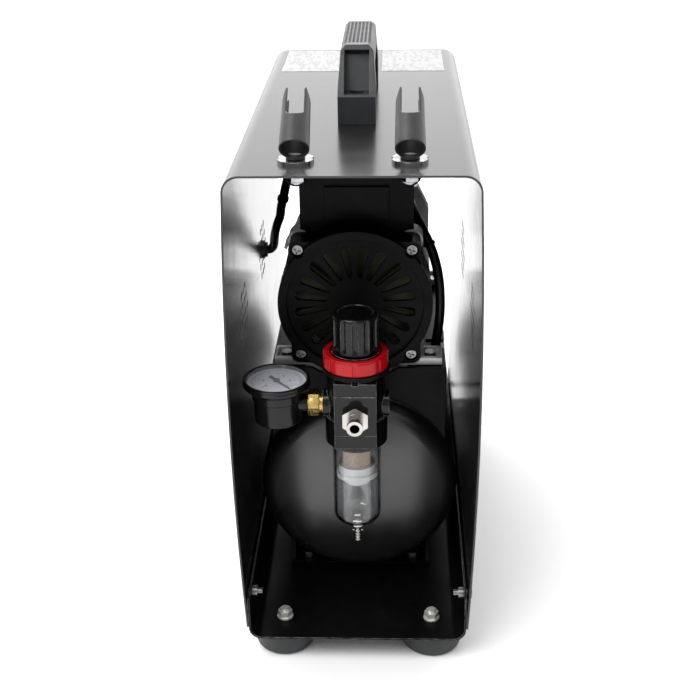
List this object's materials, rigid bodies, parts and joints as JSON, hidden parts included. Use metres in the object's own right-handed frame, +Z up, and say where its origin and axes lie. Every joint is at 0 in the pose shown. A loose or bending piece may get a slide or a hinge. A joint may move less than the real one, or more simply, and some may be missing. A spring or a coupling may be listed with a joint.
{
  "type": "airbrush compressor",
  "caption": "Airbrush compressor: a fan-cooled piston pump on a small air tank in a folded metal housing, with handle, brush holders, filter regulator and gauge.",
  "frame": {"origin": "on the floor under the centre of the housing", "axes": "+X to the right, -Y the open front with the regulator, +Z up"},
  "size_m": [0.148, 0.33, 0.365],
  "materials": {
    "cover_paint": "satin powder coat, gloss inside",
    "black_paint": "satin",
    "black_rubber": "matte",
    "chrome": "polished",
    "zinc_steel": "zinc plated",
    "black_plastic": "fine texture",
    "black_casting": "gloss",
    "red_plastic": "gloss",
    "cast_aluminium": "as cast",
    "brass": "turned",
    "copper_wire": "enamelled",
    "clear_bowl": "clear",
    "filter_medium": "sintered",
    "fan_plastic": "moulded",
    "label_film": "plain film",
    "needle_metal": "matte"
  },
  "bodies": {
    "housing": {"base_tray": "black_paint", "cover_shell": "cover_paint", "rubber_feet": "black_rubber", "foot_bolts": "zinc_steel", "foot_nuts": "chrome", "cover_screws": "zinc_steel", "carry_handle": "black_plastic", "handle_screws": "zinc_steel", "labels": "label_film", "cable_grommet": "black_rubber", "holder_lock_nuts": "chrome", "holder_under_nuts": "chrome", "tank_shell": "black_paint", "tank_front_end": "black_paint", "tank_rear_end": "black_paint", "tank_saddles": "black_paint", "saddle_bolts": "zinc_steel", "motor_bracket": "black_paint", "rubber_mounts": "black_rubber", "motor_bolts": "zinc_steel", "front_end_frame": "cast_aluminium", "motor_shell": "black_paint", "stator": "zinc_steel", "windings": "copper_wire", "fan_cover": "black_plastic", "fan_cover_screws": "chrome", "bearings": "zinc_steel", "crankcase": "cast_aluminium", "cylinder": "cast_aluminium", "cylinder_head": "cast_aluminium", "head_bolts": "zinc_steel", "intake_filter": "black_plastic", "electrical_box": "black_plastic", "supply_lead": "black_rubber", "air_hose": "black_rubber", "air_fittings": "brass", "safety_valve": "brass", "regulator_body": "black_casting", "regulator_bracket": "black_paint", "lock_ring": "red_plastic", "regulator_spring": "zinc_steel", "outlet_nipple": "chrome", "filter_element": "filter_medium", "gauge_case": "black_plastic"},
    "rotor": {"motor_shaft": "zinc_steel", "rotor_core": "zinc_steel", "cooling_fan": "fan_plastic", "crank_disc": "zinc_steel"},
    "rod": {"connecting_rod": "cast_aluminium"},
    "pump_piston": {"piston": "cast_aluminium"},
    "screw": {"adjusting_screw": "zinc_steel"},
    "knob": {"pressure_knob": "black_plastic"},
    "bowl": {"filter_bowl": "clear_bowl"},
    "drain": {"drain_valve": "brass"},
    "needle": {"gauge_needle": "needle_metal"},
    "left_holder": {"holder_left": "black_plastic"},
    "right_holder": {"holder_right": "black_plastic"},
    "switch": {"rocker_switch": "black_plastic"},
    "relief_ring": {"pull_ring": "zinc_steel"},
    "cock": {"drain_cock": "brass"}
  },
  "joints": [
    {"name": "motor_spin", "type": "hinge", "parent": "housing", "child": "rotor", "pos_m": [-0.0015, 0, 0.2134], "axis": [0, 1, 0], "continuous": true},
    {"name": "crank_pin_turn", "type": "hinge", "parent": "rotor", "child": "rod", "pos_m": [-0.0015, 0.045, 0.2074], "axis": [0, 1, 0], "continuous": true},
    {"name": "piston_slide", "type": "slide", "parent": "housing", "child": "pump_piston", "axis": [0, 0, 1], "range_m": [0, 0.012]},
    {"name": "pressure_set", "type": "hinge", "parent": "housing", "child": "screw", "pos_m": [0, -0.13, 0.21], "axis": [0, 0, 1], "range_deg": [-720, 720]},
    {"name": "knob_pull", "type": "slide", "parent": "screw", "child": "knob", "axis": [0, 0, 1], "range_m": [0, 0.003]},
    {"name": "bowl_unscrew", "type": "hinge", "parent": "housing", "child": "bowl", "pos_m": [0, -0.13, 0.12], "axis": [0, 0, 1], "range_deg": [-1080, 0]},
    {"name": "drain_push", "type": "slide", "parent": "bowl", "child": "drain", "axis": [0, 0, 1], "range_m": [0, 0.0025], "stiffness_N_per_m": 400, "springref_m": -0.002},
    {"name": "needle_swing", "type": "hinge", "parent": "housing", "child": "needle", "pos_m": [-0.048, -0.13, 0.1823], "axis": [0, 0, 1], "range_deg": [-270, 0], "stiffness_Nm_per_rad": 0.0005},
    {"name": "left_holder_turn", "type": "hinge", "parent": "housing", "child": "left_holder", "pos_m": [-0.0313, -0.139, 0.321], "axis": [0, 0, 1], "range_deg": [-40, 90]},
    {"name": "right_holder_turn", "type": "hinge", "parent": "housing", "child": "right_holder", "pos_m": [0.0313, -0.139, 0.321], "axis": [0, 0, 1], "range_deg": [-90, 40]},
    {"name": "switch_rock", "type": "hinge", "parent": "housing", "child": "switch", "pos_m": [0.022, 0.0035, 0.288], "axis": [1, 0, 0], "range_deg": [0, 20]},
    {"name": "relief_pull", "type": "slide", "parent": "housing", "child": "relief_ring", "axis": [0, 0, 1], "range_m": [0, 0.003], "stiffness_N_per_m": 800, "springref_m": -0.003},
    {"name": "cock_turn", "type": "hinge", "parent": "housing", "child": "cock", "pos_m": [0, 0.149, 0.0586], "axis": [0, 1, 0], "range_deg": [0, 720]}
  ],
  "couplings": [
    {"joint": "crank_pin_turn", "follows": "motor_spin", "ratio": -1}
  ]
}
